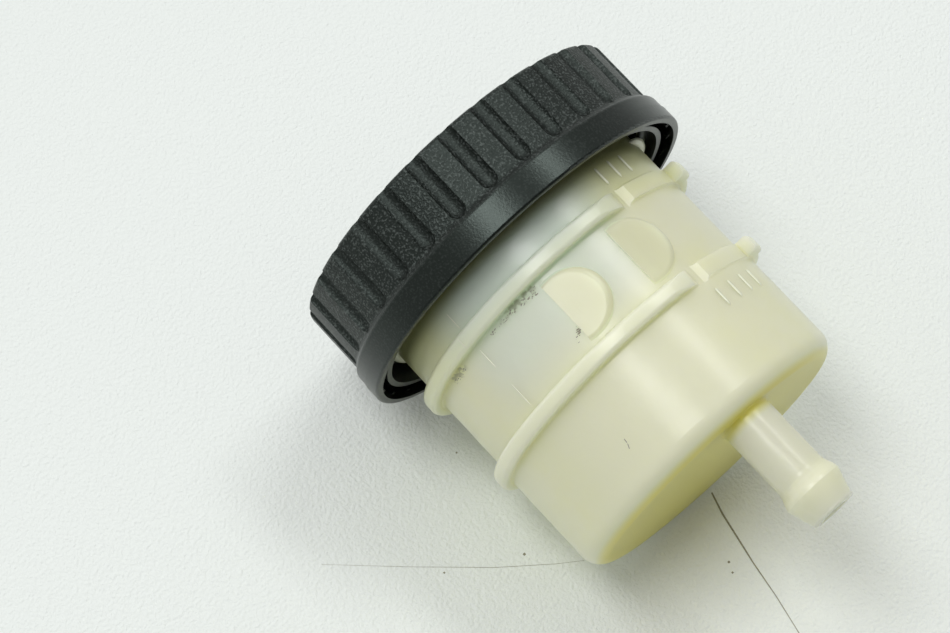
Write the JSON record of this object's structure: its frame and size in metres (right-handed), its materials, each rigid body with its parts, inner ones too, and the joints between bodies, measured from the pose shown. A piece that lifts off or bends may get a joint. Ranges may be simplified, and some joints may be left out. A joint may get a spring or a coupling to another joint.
{
  "type": "brake fluid reservoir",
  "caption": "Round translucent brake fluid cup with two ribs, an off-centre barbed hose spigot and a grooved black screw cap over a rubber diaphragm.",
  "frame": {"origin": "on the cup's axis, halfway along the plain wall below the lower rib", "axes": "+Z along the cup's axis towards the screw cap, -Y towards the hose spigot, +X to the right seen from the spigot's side"},
  "size_m": [0.0608, 0.0608, 0.0752],
  "materials": {
    "cup_plastic": "translucent natural plastic, yellowed pale green, faint mould line, light scratches and specks of grime",
    "cap_plastic": "black plastic, spark-eroded grain on lands and grooves, smoother collar, dusty",
    "plate_plastic": "plain natural plastic",
    "diaphragm_rubber": "matt black rubber"
  },
  "bodies": {
    "cup": {"reservoir_cup": "cup_plastic", "rubber_diaphragm": "diaphragm_rubber"},
    "plate": {"diaphragm_plate": "plate_plastic"},
    "cap": {"screw_cap": "cap_plastic"}
  },
  "joints": [
    {"name": "cap_rise", "type": "slide", "parent": "cup", "child": "plate", "axis": [0, 0, 1], "range_m": [0, 0.0071]},
    {"name": "cap_turn", "type": "hinge", "parent": "plate", "child": "cap", "pos_m": [0, 0, 0.03025], "axis": [0, 0, 1], "range_deg": [0, 630]}
  ],
  "couplings": [
    {"joint": "cap_rise", "follows": "cap_turn", "m_per_rad": 0.00063662}
  ]
}
